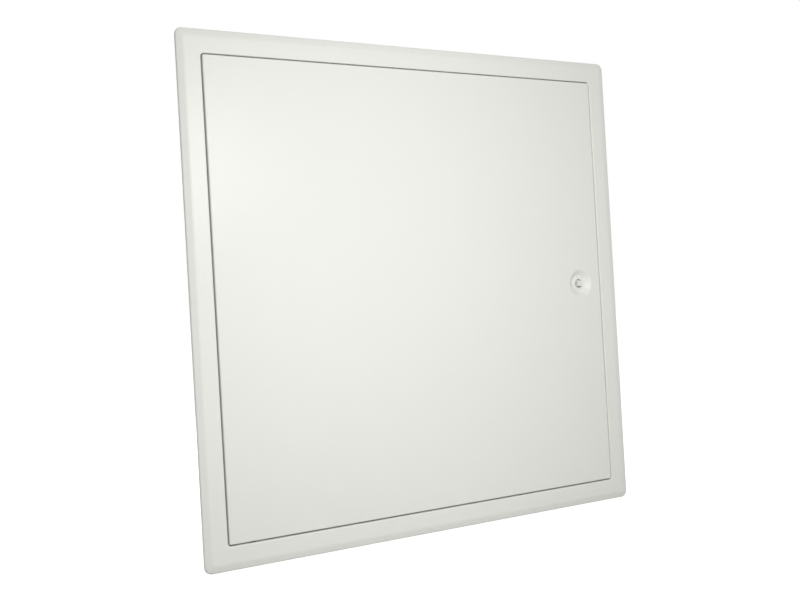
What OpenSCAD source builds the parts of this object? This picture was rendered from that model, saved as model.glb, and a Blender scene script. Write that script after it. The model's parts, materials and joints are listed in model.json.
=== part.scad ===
// Access panel for a ceiling or wall: a pressed steel face frame welded to a folded steel
// casing, with a flush pan door that turns on two pivot pins and closes with a square-key cam lock.
// X runs across the panel from the hinge side to the lock side, Y runs back into the void behind
// the board, and Z runs up the panel. The origin is the middle of the opening, in the plane of the
// finished board that the rim of the face frame rests on. Depths are counted from the front face.

/* [Opening and flange] */
// Clear width of the opening in the face frame
opening_w = 600; // [300:10:900]
// Clear height of the opening in the face frame
opening_h = 600; // [300:10:900]
// Corner radius of the opening
opening_r = 4.5; // [4:0.5:12]
// Width of the visible flange round the opening
flange_w = 30; // [26:1:50]
// Corner radius of the flange
flange_corner_r = 7.5; // [6:0.5:9]
// Depth of the drawn collar that lines the opening
collar_depth = 17; // [17:0.5:19]

/* [Soft edge of the flange] */
// Radius of the soft bend between the flat of the flange and its sloping edge
edge_r = 12.5; // [10:2.5:15]
// Sine of the angle of the slope
edge_sine = 0.28; // [0.28, 0.352, 0.6]
// Length of the slope
edge_slope = 6; // [5:0.5:8]
// Radius of the tight turn at the rim
rim_r = 2.5; // [2:0.5:3]
// Straight leg of the rim that meets the board
rim_leg = 0.42; // [0.2:0.02:2]

/* [Sheet metal] */
// Sheet thickness of the face frame, casing and door stops
frame_sheet = 1.2; // [0.8:0.1:1.5]
// Sheet thickness of the door and its stiffeners
door_sheet = 1; // [0.7:0.1:1.2]
// Sheet thickness of the pivot brackets
bracket_sheet = 1.5; // [1:0.1:2]
// Inside radius of the folds of the face frame, door and brackets
fold_r = 0.6; // [0.6:0.1:1.2]
// Inside radius of the folds of the casing and door stops
casing_fold_r = 1; // [0.6:0.1:1.2]

/* [Casing] */
// Depth of the casing behind the board's face
casing_depth = 46; // [42:1:80]
// Width of the weld leg behind the flange
weld_leg = 16; // [10:1:17]
// Width of the stiffening lip at the back of the casing
casing_lip = 14; // [8:1:14]
// Diameter of the fixing holes
fixing_d = 5.5; // [4:0.5:7]
// Distance between the two fixing holes in each side
fixing_pitch = 400; // [100:10:500]
// Depth of the fixing holes behind the board's face
fixing_depth = 37; // [36:1:38]
// Length of the corner tabs that join the casing rails
tab_l = 20; // [16:1:24]
// Width of the corner tabs
tab_w = 18; // [14:1:22]
// Distance of the corner tabs from the fold of the casing's lip
tab_inset = 4; // [2:0.5:6]
// Diameter of the corner rivets
rivet_d = 4; // [3.2:0.2:5]
// Radial clearance of the rivets in the sheet
rivet_fit = 0.1; // [0.05:0.05:0.2]

/* [Door stop and seal] */
// Depth of the stop ledge behind the front face
stop_depth = 20.5; // [20:0.5:23]
// Width of the stop ledge, from the casing wall inwards
stop_w = 15; // [13:0.5:16]
// Length of the stop's leg along the casing wall
stop_leg = 13; // [9:1:14]
// Width of the foam seal
seal_w = 8; // [6:0.5:9]
// Distance of the seal from the inner edge of the ledge
seal_inset = 1.5; // [1:0.5:3]
// Clearance between the foam seal and the closed door
seal_gap = 0.3; // [0.2:0.1:0.6]

/* [Door] */
// Gap between the door and the collar at the hinge side and the bottom
door_gap = 1.8; // [1.8:0.1:3]
// Gap between the door and the collar at the lock side
lock_side_gap = 1.2; // [1.2:0.1:1.8]
// Gap between the door and the collar at the top
top_gap = 1.3; // [1.2:0.1:1.8]
// Depth of the door pan
door_depth = 18; // [17:0.5:18.5]
// Corner radius of the door
door_r = 2.5; // [2.5:0.5:8]
// Width of the lip at the back of the door
door_lip = 12; // [8:0.5:14]
// Width of the relief slits in the corners of the lip
slit_w = 1.6; // [1:0.2:3]
// Distance of each stiffener from the middle of the door
stiffener_x = 100; // [60:5:180]
// Width of the crown of a stiffener
stiffener_crown = 30; // [20:1:50]
// Width of each weld flange of a stiffener
stiffener_flange = 15; // [10:1:25]
// Height of a stiffener
stiffener_h = 11; // [6:0.5:14]
// Gap between a stiffener's end and the lip of the door
stiffener_gap = 8; // [3:1:40]

/* [Pivots] */
// Distance of the pivot axis from the door's hinge edge
pivot_inset = 32; // [30:1:40]
// Depth of the pivot axis behind the front face
pivot_depth = 9.5; // [9:0.25:10]
// Diameter of the pivot pins
pin_d = 5; // [4.5:0.5:6]
// Radial running clearance of the pins
pin_fit = 0.05; // [0.02:0.01:0.1]
// Length of the lower pin past the door's edge, which the upper pin mirrors
pin_reach = 6.5; // [6:0.25:8]
// Wall of the pivot bushes
bush_wall = 1.5; // [1:0.25:2]
// Width of the flange of a pivot bush
bush_flange = 2; // [1:0.25:2.5]
// Thickness of the bush flange
bush_flange_t = 1; // [0.6:0.1:1.2]
// Radial clearance of the bushes in the sheet
bush_fit = 0.1; // [0.05:0.05:0.2]
// Running clearance under the door's thrust washer
thrust_fit = 0.2; // [0.1:0.05:0.3]
// Width of the pivot brackets
bracket_w = 30; // [20:1:36]
// Height of the upper bracket, which holds the spring
upper_bracket_h = 50; // [44:1:90]
// Height of the lower bracket
lower_bracket_h = 26; // [18:1:60]
// Depth that the bracket's ears reach behind the front face
ear_depth = 16; // [15:0.5:16.5]

/* [Spring bolt] */
// Travel that draws the bolt clear of the frame
bolt_travel = 8; // [7:0.5:10]
// Distance of the clip below the top of the bracket
clip_drop = 21; // [16:1:24]
// Thickness of the clip
clip_t = 1; // [0.8:0.1:1.5]
// Diameter of the clip
clip_d = 11; // [10:0.5:12]
// Length of the knob
knob_l = 12; // [8:1:20]
// Diameter of the knob
knob_d = 10; // [8:0.5:13]
// Wire diameter of the spring
wire_d = 0.9; // [0.6:0.1:1.1]
// Number of turns of the spring
spring_turns = 7; // [5:1:9]
// Radial clearance between the spring and the bolt
spring_fit = 0.5; // [0.3:0.1:0.8]
// Depth of the groove that holds the clip
groove = 0.5; // [0.3:0.1:0.8]

/* [Lock] */
// Distance of the lock axis from the edge of the opening
lock_inset = 37.8; // [36.8:0.5:46.8]
// Distance of the lock axis below the middle of the door
lock_drop = 2.5; // [0:0.5:10]
// Radius of the dish pressed into the door
dish_r = 21.5; // [20:0.5:23]
// Depth of the dish
dish_depth = 6; // [5:0.25:6.5]
// Radius of the dish's shoulder
dish_shoulder_r = 5; // [3:0.5:6]
// Radius of the fillet at the foot of the dish
dish_foot_r = 4; // [2:0.5:5]
// Sine of the slope of the dish's wall
dish_sine = 0.6; // [0.55:0.05:0.75]
// Radius of the lock housing's head
head_r = 9.8; // [9:0.1:11]
// Thickness of the head
head_t = 1.2; // [0.8:0.1:2]
// Radius of the housing's barrel
barrel_r = 8; // [7.5:0.25:8.5]
// Radius of the cup round the square
cup_r = 6.4; // [6:0.1:6.6]
// Depth of the cup's floor behind the front face
cup_depth = 9; // [8:0.25:11]
// Width across the flats of the square
square_w = 8; // [6:0.5:8.5]
// Depth of the end of the square behind the front face
square_sink = 0.2; // [0.2:0.1:2]
// Thickness of the spindle's shoulder
shoulder_t = 1.5; // [1:0.25:3]
// Radius of the spindle's journal
journal_r = 5; // [4.6:0.1:5.5]
// Radial clearance of the lock's turning parts
lock_fit = 0.06; // [0.03:0.01:0.1]
// Width across the flats of the lock nut
nut_w = 22; // [20:0.5:26]
// Thickness of the lock nut
nut_t = 5; // [3:0.5:8]
// Thickness of the friction washer behind the barrel
friction_t = 0.8; // [0.5:0.1:1.2]
// Radius of the cam about its axis
cam_r = 11; // [9:0.5:12]
// Reach of the cam's tongue from its axis
cam_reach = 35; // [32:0.5:36]
// Width of the cam's tongue
cam_w = 16; // [12:0.5:18]
// Thickness of the cam
cam_t = 3; // [2:0.25:4]
// Gap between the cam and the back of the stop ledge
cam_gap = 1; // [0.6:0.1:1.5]
// Width across the flats of the square that drives the cam
tang_w = 6.8; // [6:0.1:7]
// Diameter of the cam screw
screw_d = 4; // [3:0.5:4]
// Length of the cam screw's shank
screw_l = 12; // [8:1:16]

/* [Hidden] */
$fn = 64;

WHITE = [0.92, 0.92, 0.9];
ZINC = [0.7, 0.71, 0.73];
ACETAL = [0.16, 0.16, 0.17];
FOAM = [0.2, 0.2, 0.21];

// Overshoot of a cutter past the faces that it cuts, and length of one that passes a whole wall.
cut = 1;
through = 30;

// Soft edge and the planes that follow from it.
edge_angle = asin(edge_sine);
edge_w = edge_r * sin(edge_angle) + edge_slope * cos(edge_angle) + rim_r * (1 - sin(edge_angle));
edge_drop = edge_r * (1 - cos(edge_angle)) + edge_slope * sin(edge_angle) + rim_r * cos(edge_angle);
front_y = -(edge_drop + rim_leg);
flange_back_y = front_y + frame_sheet;

// Outer radius of a fold in each sheet.
frame_fold = fold_r + frame_sheet;
casing_fold = casing_fold_r + frame_sheet;
door_fold = fold_r + door_sheet;
bracket_fold = fold_r + bracket_sheet;

// Half sizes of the opening, of the inside of the casing's walls, and of the door.
half_w = opening_w / 2;
half_h = opening_h / 2;
wall_w = half_w + frame_sheet;
wall_h = half_h + frame_sheet;
door_half_w = half_w - door_gap;
door_half_h = half_h - door_gap;
door_back_y = front_y + door_depth;
skin_back_y = front_y + door_sheet;

// Pivot axis, and the room that the door's hinge edge sweeps behind it.
pivot_x = pivot_inset - door_half_w;
pivot_y = front_y + pivot_depth;
sweep_r = norm([pivot_inset, pivot_depth]);
bush_r = pin_d / 2 + bush_wall;
bush_bore_r = pin_d / 2 + pin_fit;
pin_end_z = door_half_h + pin_reach;

// Stop ledge and seal.
ledge_y = front_y + stop_depth;
stop_inner_w = wall_w - stop_w;
stop_start_x = pivot_x + sweep_r + door_gap;
butt_gap = 0.3;

// Casing rails: the side rails run past the ends of the top and bottom rails.
rail_end_gap = casing_fold_r + butt_gap;
tab_y = casing_depth - 2 * casing_fold - tab_w - tab_inset;
rivet_x = wall_w - tab_l / 2;
rivet_y = tab_y + tab_w / 2;

// Brackets of the pivots.
bracket_top = door_half_h - door_sheet;
ear_y = front_y + ear_depth;

// Spring bolt.
lower_ear_z = bracket_top - upper_bracket_h;
clip_z = bracket_top - clip_drop;
spring_z = lower_ear_z + bracket_sheet;
spring_l = clip_z - spring_z;
spring_r = pin_d / 2 + spring_fit + wire_d / 2;
knob_gap = 0.3;

// Lock.
lock_x = half_w - lock_inset;
dish_angle = asin(dish_sine);
dish_run = (dish_depth - (dish_shoulder_r + dish_foot_r) * (1 - cos(dish_angle))) / sin(dish_angle);
dish_floor_r = dish_r - (dish_shoulder_r + dish_foot_r) * sin(dish_angle) - dish_run * cos(dish_angle);
cam_depth = stop_depth + frame_sheet + cam_gap;
barrel_end = cam_depth - friction_t;
tang_gap = 0.2;
tang_l = cam_t - tang_gap;
washer_t = 1;
screw_head_t = 2.8;

// A strip of sheet bent round an arc, by the radius of its outer face and its two end angles.
module bent_strip(r, t, a0, a1) {
    reach = 2 * r;
    mid = (a0 + a1) / 2;
    intersection() {
        difference() {
            circle(r);
            circle(r - t);
        }
        polygon([
            [0, 0],
            reach * [cos(a0), sin(a0)],
            reach * [cos(mid), sin(mid)],
            reach * [cos(a1), sin(a1)]
        ]);
    }
}

// Sweeps a flat profile round a rectangle with round corners. The profile's x runs outwards from
// the corner centres, which lie at the two half sizes, and its y is the depth along Y.
module sweep_round(centre_w, centre_h) {
    for (side = [0:3]) {
        away = side % 2 == 0 ? centre_w : centre_h;
        along = side % 2 == 0 ? centre_h : centre_w;
        rotate([0, 90 * side, 0]) translate([away, 0, -along]) {
            linear_extrude(2 * along) children();
            rotate([-90, 0, 0]) rotate_extrude(angle = 90) children();
        }
    }
}

// Runs a flat profile round a rectangle with mitred corners. The profile's x runs outwards from the
// rectangle's edge, at the two half sizes, and the mitres cut off a width inside that edge.
module run_mitred(edge_half_w, edge_half_h, width) {
    for (side = [0:3]) {
        away = side % 2 == 0 ? edge_half_w : edge_half_h;
        along = side % 2 == 0 ? edge_half_h : edge_half_w;
        rotate([0, 90 * side, 0]) intersection() {
            translate([away, 0, -along]) linear_extrude(2 * along) children();
            flat_sheet(-through, 2 * through) polygon([
                [away, along],
                [away - width, along - width],
                [away - width, width - along],
                [away, -along]
            ]);
        }
    }
}

// A flat sheet across the panel, drawn in X and Z, with its front at a given depth along Y.
module flat_sheet(y, t) {
    translate([0, y + t, 0]) rotate([90, 0, 0]) linear_extrude(t) children();
}

// A rectangle with round corners, centred on the origin.
module round_rect(w, h, r) {
    square([w - 2 * r, h], center = true);
    square([w, h - 2 * r], center = true);
    for (x = [-1, 1], z = [-1, 1])
        translate([x * (w / 2 - r), z * (h / 2 - r)]) circle(r);
}

// Places what is modelled along +Z so that it points back along Y from the front face at the lock.
module at_lock() {
    translate([lock_x, front_y, -lock_drop]) rotate([-90, 0, 0]) children();
}

// A ring between two radii.
module ring(outer, inner, h) {
    difference() {
        cylinder(r = outer, h = h);
        translate([0, 0, -cut]) cylinder(r = inner, h = h + 2 * cut);
    }
}

// A round hole along Z through the top and bottom walls at the pivot axis.
module pivot_holes(r) {
    for (side = [-1, 1])
        translate([pivot_x, pivot_y, side * half_h]) cylinder(r = r, h = through, center = true);
}

// Section of the flange's soft edge: x runs outwards from the corner centres, y is the depth along Y.
module edge_section() {
    along = [cos(edge_angle), sin(edge_angle)];
    across = [sin(edge_angle), -cos(edge_angle)];
    bend = [flange_corner_r - edge_w, front_y + edge_r];
    slope_start = bend + edge_r * across;
    slope_end = slope_start + edge_slope * along;
    translate(bend) bent_strip(edge_r, frame_sheet, -90, edge_angle - 90);
    polygon([slope_start, slope_end, slope_end - frame_sheet * across, slope_start - frame_sheet * across]);
    translate(slope_end - rim_r * across) bent_strip(rim_r, frame_sheet, edge_angle - 90, 0);
    translate([flange_corner_r - frame_sheet, -rim_leg]) square([frame_sheet, rim_leg]);
}

// The part of the soft edge that turns about the corner centres, or the part inside them.
module edge_part(outer) {
    intersection() {
        edge_section();
        translate([outer ? 0 : -through, -through]) square([through, 2 * through]);
    }
}

// Section of the drawn collar, from the corner centres of the opening.
module collar_section() {
    translate([opening_r + frame_fold, front_y + frame_fold]) bent_strip(frame_fold, frame_sheet, 180, 270);
    translate([opening_r, front_y + frame_fold]) square([frame_sheet, collar_depth - frame_fold]);
}

module face_frame() {
    centre_w = half_w + flange_w - flange_corner_r;
    centre_h = half_h + flange_w - flange_corner_r;
    inner = edge_w - flange_corner_r;
    color(WHITE) difference() {
        union() {
            sweep_round(centre_w, centre_h) edge_part(true);
            run_mitred(centre_w, centre_h, inner) edge_part(false);
            flat_sheet(front_y, frame_sheet) difference() {
                square(2 * [centre_w - inner, centre_h - inner], center = true);
                round_rect(opening_w + 2 * frame_fold, opening_h + 2 * frame_fold, opening_r + frame_fold);
            }
            sweep_round(half_w - opening_r, half_h - opening_r) collar_section();
        }
        pivot_holes(bush_r + bush_fit);
    }
}

// Section of a casing rail: x runs outwards from the inner face of its wall, y is the depth along Y.
module casing_section() {
    translate([casing_fold, flange_back_y]) square([weld_leg - casing_fold, frame_sheet]);
    translate([casing_fold, flange_back_y + casing_fold]) bent_strip(casing_fold, frame_sheet, 180, 270);
    translate([0, flange_back_y + casing_fold])
        square([frame_sheet, casing_depth - flange_back_y - 2 * casing_fold]);
    translate([frame_sheet - casing_fold, casing_depth - casing_fold])
        bent_strip(casing_fold, frame_sheet, 0, 90);
    translate([-casing_lip, casing_depth - frame_sheet])
        square([casing_lip + frame_sheet - casing_fold, frame_sheet]);
}

// A length of casing rail along Z, with its wall's inner face at x = 0 and its fixing holes.
module casing_rail(half_l) {
    difference() {
        translate([0, 0, -half_l]) linear_extrude(2 * half_l) casing_section();
        for (end = [-1, 1])
            translate([-cut, fixing_depth, end * fixing_pitch / 2]) rotate([0, 90, 0])
                cylinder(d = fixing_d, h = frame_sheet + 2 * cut);
    }
}

// The top or bottom rail, as level says.
module level_rail(level) {
    color(WHITE) difference() {
        rotate([0, -90 * level, 0]) translate([wall_h, 0, 0]) casing_rail(wall_w - rail_end_gap);
        pivot_holes(bush_r + bush_fit);
        rivet_places() cylinder(d = rivet_d + 2 * rivet_fit, h = through, center = true);
    }
}

// A side rail: its lip stops short of the level rails' lips, and its ends fold over them as tabs.
module side_rail(side) {
    lip_end = wall_h - casing_lip - butt_gap;
    tab_bend = [frame_sheet - casing_fold, wall_h + 2 * frame_sheet - casing_fold];
    color(WHITE) difference() {
        rotate([0, side > 0 ? 0 : 180, 0]) translate([wall_w, 0, 0]) {
            difference() {
                casing_rail(tab_bend.y);
                for (end = [0, 1]) mirror([0, 0, end])
                    translate([-casing_lip - cut, casing_depth - 2 * casing_fold, lip_end])
                        cube([casing_lip + cut, 2 * casing_fold + cut, 2 * casing_lip]);
            }
            for (end = [0, 1]) mirror([0, 0, end]) {
                translate([tab_bend.x, tab_y + tab_w, tab_bend.y]) rotate([90, 0, 0]) linear_extrude(tab_w)
                    bent_strip(casing_fold, frame_sheet, 0, 90);
                translate([-tab_l, tab_y, wall_h + frame_sheet])
                    cube([tab_l + tab_bend.x, tab_w, frame_sheet]);
            }
        }
        rivet_places() cylinder(d = rivet_d + 2 * rivet_fit, h = through, center = true);
    }
}

module casing_top() { level_rail(1); }
module casing_bottom() { level_rail(-1); }
module casing_hinge_side() { side_rail(-1); }
module casing_lock_side() { side_rail(1); }

// The four corners of the casing where a tab is riveted to a level rail, pointing outwards along Z.
module rivet_places() {
    for (side = [-1, 1], level = [0, 1])
        mirror([0, 0, level]) translate([side * rivet_x, rivet_y, wall_h]) children();
}

// Blind rivets, with the set tail inside the casing and the domed head on the tab.
module corner_rivets() {
    head_h = rivet_d * 0.3;
    tail_h = rivet_d * 0.35;
    color(ZINC) rivet_places() {
        translate([0, 0, -tail_h]) cylinder(d1 = rivet_d, d2 = rivet_d * 1.4, h = tail_h);
        cylinder(d = rivet_d, h = 2 * frame_sheet);
        translate([0, 0, 2 * frame_sheet]) cylinder(d1 = rivet_d * 2, d2 = rivet_d, h = head_h);
    }
}

// Section of a door stop: x runs outwards to the casing's wall at 0, y is the depth along Y.
module stop_section() {
    translate([-stop_w, ledge_y]) square([stop_w - casing_fold, frame_sheet]);
    translate([-casing_fold, ledge_y + casing_fold]) bent_strip(casing_fold, frame_sheet, -90, 0);
    translate([-frame_sheet, ledge_y + casing_fold]) square([frame_sheet, stop_leg - casing_fold]);
}

// Section of the foam seal on the ledge of a stop.
module seal_section() {
    front = door_back_y + seal_gap;
    translate([seal_inset - stop_w, front]) square([seal_w, ledge_y - front]);
}

// Runs a section along the top or bottom of the door, clear of the hinge edge's sweep.
module along_level(level, end_x) {
    mirror([0, 0, level > 0 ? 0 : 1]) translate([stop_start_x, 0, wall_h]) rotate([0, -90, 0])
        mirror([0, 0, 1]) linear_extrude(end_x - stop_start_x) children();
}

// Runs a section up the lock side.
module along_lock_side(half_l) {
    translate([wall_w, 0, -half_l]) linear_extrude(2 * half_l) children();
}

module stop_top() { color(WHITE) along_level(1, stop_inner_w - butt_gap) stop_section(); }
module stop_bottom() { color(WHITE) along_level(-1, stop_inner_w - butt_gap) stop_section(); }
module stop_lock_side() { color(WHITE) along_lock_side(wall_h - butt_gap) stop_section(); }

module seal_top() { color(FOAM) along_level(1, stop_inner_w - butt_gap) seal_section(); }
module seal_bottom() { color(FOAM) along_level(-1, stop_inner_w - butt_gap) seal_section(); }
module seal_lock_side() { color(FOAM) along_lock_side(wall_h - butt_gap) seal_section(); }

// A bush for a pivot pin, pressed in from outside: its flange is on the casing and its end is flush
// with the inside of the collar, so that nothing of it shows in the gap round the door.
module pivot_bush(level) {
    wall = 2 * frame_sheet;
    bush_l = wall + bush_flange_t;
    color(ACETAL) mirror([0, 0, level > 0 ? 0 : 1]) translate([pivot_x, pivot_y, half_h]) difference() {
        union() {
            cylinder(r = bush_r, h = bush_l);
            translate([0, 0, wall]) cylinder(r = bush_r + bush_flange, h = bush_flange_t);
        }
        translate([0, 0, -cut]) cylinder(r = bush_bore_r, h = bush_l + 2 * cut);
    }
}

module upper_pivot_bush() { pivot_bush(1); }
module lower_pivot_bush() { pivot_bush(-1); }

// Section of the door's edge, from its corner centres: skin, wall and back lip with their two folds.
module door_section() {
    fold_x = door_r - door_fold;
    translate([0, front_y]) square([fold_x, door_sheet]);
    translate([fold_x, front_y + door_fold]) bent_strip(door_fold, door_sheet, -90, 0);
    translate([door_r - door_sheet, front_y + door_fold]) square([door_sheet, door_depth - 2 * door_fold]);
    translate([fold_x, door_back_y - door_fold]) bent_strip(door_fold, door_sheet, 0, 90);
    translate([0, door_back_y - door_sheet]) square([fold_x, door_sheet]);
}

// Section of the pressed dish: x is the radius from the lock's axis, y the depth from the front face.
module dish_section() {
    across = [sin(dish_angle), cos(dish_angle)];
    shoulder = [dish_r, dish_shoulder_r];
    slope_start = shoulder - dish_shoulder_r * across;
    slope_end = slope_start + dish_run * [-cos(dish_angle), sin(dish_angle)];
    translate(shoulder) bent_strip(dish_shoulder_r, door_sheet, -90 - dish_angle, -90);
    polygon([slope_start, slope_end, slope_end + door_sheet * across, slope_start + door_sheet * across]);
    translate([dish_floor_r, dish_depth - dish_foot_r])
        bent_strip(dish_foot_r + door_sheet, door_sheet, 90 - dish_angle, 90);
    translate([barrel_r + lock_fit, dish_depth]) square([dish_floor_r - barrel_r - lock_fit, door_sheet]);
}

// The door's edges reach further at the lock side and the top, where the gap is finer.
module door_skin() {
    shift = [door_gap - lock_side_gap, door_gap - top_gap] / 2;
    half = [door_half_w, door_half_h] + shift;
    centres = half - [door_r, door_r];
    lip = half - [door_lip, door_lip];
    slit_l = (door_lip - door_r) * sqrt(2);
    color(WHITE) difference() {
        union() {
            translate([shift.x, 0, shift.y]) {
                sweep_round(centres.x, centres.y) door_section();
                flat_sheet(front_y, door_sheet) difference() {
                    square(2 * centres, center = true);
                    translate([lock_x, -lock_drop] - shift) circle(dish_r);
                }
                flat_sheet(door_back_y - door_sheet, door_sheet) difference() {
                    square(2 * centres, center = true);
                    square(2 * lip, center = true);
                }
            }
            at_lock() rotate_extrude() dish_section();
        }
        translate([shift.x, 0, shift.y]) for (x = [0, 1], z = [0, 1])
            mirror([x, 0, 0]) mirror([0, 0, z]) translate([lip.x, door_back_y, lip.y]) rotate([0, -45, 0])
                cube([2 * slit_l, 4 * door_sheet, slit_w], center = true);
        pivot_holes(bush_bore_r + pin_fit);
    }
}

// Section of a top-hat stiffener on the back of the skin: x across the hat, y the depth along Y.
module stiffener_section() {
    crown = stiffener_crown / 2;
    foot = crown - door_sheet + door_fold;
    top = stiffener_h - door_fold;
    for (side = [0, 1]) mirror([side, 0]) {
        translate([foot, 0]) square([stiffener_flange - door_fold, door_sheet]);
        translate([foot, door_fold]) bent_strip(door_fold, door_sheet, 180, 270);
        translate([crown - door_sheet, door_fold]) square([door_sheet, top - door_fold]);
        translate([crown - door_fold, top]) bent_strip(door_fold, door_sheet, 0, 90);
    }
    translate([door_fold - crown, stiffener_h - door_sheet])
        square([stiffener_crown - 2 * door_fold, door_sheet]);
}

module stiffener(side) {
    half_l = door_half_h - door_lip - stiffener_gap;
    color(WHITE) translate([side * stiffener_x, skin_back_y, -half_l])
        linear_extrude(2 * half_l) stiffener_section();
}

module stiffener_hinge_side() { stiffener(-1); }
module stiffener_lock_side() { stiffener(1); }

// A U bracket on the back of the skin: two ears carry a pivot pin, the outer one under the door's edge.
module pivot_bracket(level, h) {
    ear_l = ear_y - skin_back_y - bracket_fold;
    color(ZINC) mirror([0, 0, level > 0 ? 0 : 1]) difference() {
        translate([pivot_x - bracket_w / 2, skin_back_y, bracket_top - h])
            rotate([90, 0, 90]) linear_extrude(bracket_w) {
                translate([0, bracket_fold]) square([bracket_sheet, h - 2 * bracket_fold]);
                translate([bracket_fold, bracket_fold]) bent_strip(bracket_fold, bracket_sheet, 180, 270);
                translate([bracket_fold, h - bracket_fold])
                    bent_strip(bracket_fold, bracket_sheet, 90, 180);
                for (ear = [0, h - bracket_sheet])
                    translate([bracket_fold, ear]) square([ear_l, bracket_sheet]);
            }
        translate([pivot_x, pivot_y, bracket_top - h - cut]) cylinder(r = bush_bore_r, h = h + 2 * cut);
    }
}

module upper_pivot_bracket() { pivot_bracket(1, upper_bracket_h); }
module lower_pivot_bracket() { pivot_bracket(-1, lower_bracket_h); }

// The fixed lower pin hangs by its head on the upper ear of its bracket.
module lower_pivot_pin() {
    head_t = 2;
    nose = pin_d / 5;
    ear_top = lower_bracket_h - bracket_top;
    color(ZINC) translate([pivot_x, pivot_y, 0]) {
        translate([0, 0, ear_top]) cylinder(r = pin_d * 0.8, h = head_t);
        translate([0, 0, nose - pin_end_z]) cylinder(d = pin_d, h = ear_top + pin_end_z - nose);
        translate([0, 0, -pin_end_z]) cylinder(d1 = pin_d - 2 * nose, d2 = pin_d, h = nose);
    }
}

module thrust_washer() {
    thrust_t = door_gap - thrust_fit;
    color(ACETAL) translate([pivot_x, pivot_y, -door_half_h - thrust_t])
        ring(bush_r, bush_bore_r, thrust_t);
}

// The sliding upper pin, with a groove for its clip.
module spring_bolt() {
    nose = pin_d / 5;
    foot_z = lower_ear_z - knob_gap - knob_l / 2;
    color(ZINC) translate([pivot_x, pivot_y, 0]) difference() {
        union() {
            translate([0, 0, foot_z]) cylinder(d = pin_d, h = pin_end_z - nose - foot_z);
            translate([0, 0, pin_end_z - nose]) cylinder(d1 = pin_d, d2 = pin_d - 2 * nose, h = nose);
        }
        translate([0, 0, clip_z]) ring(pin_d, pin_d / 2 - groove, clip_t);
    }
}

// An open clip that snaps into the bolt's groove and takes the spring.
module bolt_clip() {
    groove_r = pin_d / 2 - groove;
    mouth = 1.6 * groove_r;
    color(ZINC) translate([pivot_x, pivot_y, clip_z]) difference() {
        ring(clip_d / 2, groove_r, clip_t);
        translate([-mouth / 2, 0, -cut]) cube([mouth, clip_d, clip_t + 2 * cut]);
    }
}

// A turned pull knob, waisted for the fingers and pressed on the foot of the bolt.
module bolt_knob() {
    waist_r = knob_l * 0.35;
    bite = knob_d * 0.12;
    color(ACETAL) translate([pivot_x, pivot_y, lower_ear_z - knob_gap - knob_l]) difference() {
        cylinder(d = knob_d, h = knob_l);
        translate([0, 0, knob_l / 2]) rotate_extrude()
            translate([knob_d / 2 + waist_r - bite, 0]) circle(waist_r);
        translate([0, 0, knob_l / 2]) cylinder(r = bush_bore_r, h = knob_l);
    }
}

// Points of one ring of the spring's wire, turned a given angle up its helix.
function wire_ring(angle, rise, sides) = [
    for (k = [0:sides - 1])
        let (a = 360 * k / sides, r = spring_r + wire_d / 2 * cos(a))
            [r * cos(angle), r * sin(angle), rise + wire_d / 2 * sin(a)]
];

// A compression spring between the lower ear and the clip.
module bolt_spring() {
    sides = 8;
    steps = spring_turns * 16;
    climb = spring_l - wire_d;
    points = [
        for (i = [0:steps])
            let (share = i / steps)
                each wire_ring(360 * spring_turns * share, wire_d / 2 + climb * share, sides)
    ];
    walls = [
        for (i = [0:steps - 1], k = [0:sides - 1])
            let (n = (k + 1) % sides)
                [i * sides + k, (i + 1) * sides + k, (i + 1) * sides + n, i * sides + n]
    ];
    first = [for (k = [0:sides - 1]) k];
    last = [for (k = [0:sides - 1]) (steps + 1) * sides - 1 - k];
    color(ZINC) translate([pivot_x, pivot_y, spring_z]) polyhedron(points, concat(walls, [first, last]));
}

// Lock housing: a head in the dish, a barrel through the door and a cup round the square.
module lock_housing() {
    lip = 0.5;
    head_y = dish_depth - head_t;
    color(WHITE) at_lock() difference() {
        union() {
            translate([0, 0, head_y]) cylinder(r1 = head_r - lip, r2 = head_r, h = lip);
            translate([0, 0, head_y + lip]) cylinder(r = head_r, h = head_t - lip);
            translate([0, 0, dish_depth]) cylinder(r = barrel_r, h = barrel_end - dish_depth);
        }
        translate([0, 0, head_y - cut]) cylinder(r = cup_r, h = cup_depth + shoulder_t - head_y + cut);
        cylinder(r = journal_r + lock_fit, h = barrel_end + cut);
    }
}

module lock_nut() {
    color(ZINC) at_lock() translate([0, 0, dish_depth + door_sheet]) difference() {
        cylinder(d = nut_w / cos(30), h = nut_t, $fn = 6);
        translate([0, 0, -cut]) cylinder(r = barrel_r + lock_fit, h = nut_t + 2 * cut);
    }
}

// Spindle: the square that the key turns, a shoulder in the cup, a journal and the cam's tang.
module lock_spindle() {
    square_l = cup_depth - square_sink;
    journal_l = cam_depth - cup_depth - shoulder_t;
    nose_r = 0.55 * square_w;
    color(WHITE) at_lock() difference() {
        union() {
            intersection() {
                translate([-square_w / 2, -square_w / 2, square_sink]) cube([square_w, square_w, square_l]);
                translate([0, 0, square_sink]) cylinder(r1 = nose_r, r2 = nose_r + square_l, h = square_l);
            }
            translate([0, 0, cup_depth]) cylinder(r = cup_r - lock_fit, h = shoulder_t);
            translate([0, 0, cup_depth + shoulder_t]) cylinder(r = journal_r, h = journal_l);
            translate([-tang_w / 2, -tang_w / 2, cam_depth]) cube([tang_w, tang_w, tang_l]);
        }
        translate([0, 0, cam_depth + tang_l - screw_l]) cylinder(d = screw_d, h = screw_l + cut);
    }
}

module friction_washer() {
    color(ACETAL) at_lock() translate([0, 0, barrel_end]) ring(barrel_r, journal_r + lock_fit, friction_t);
}

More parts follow.
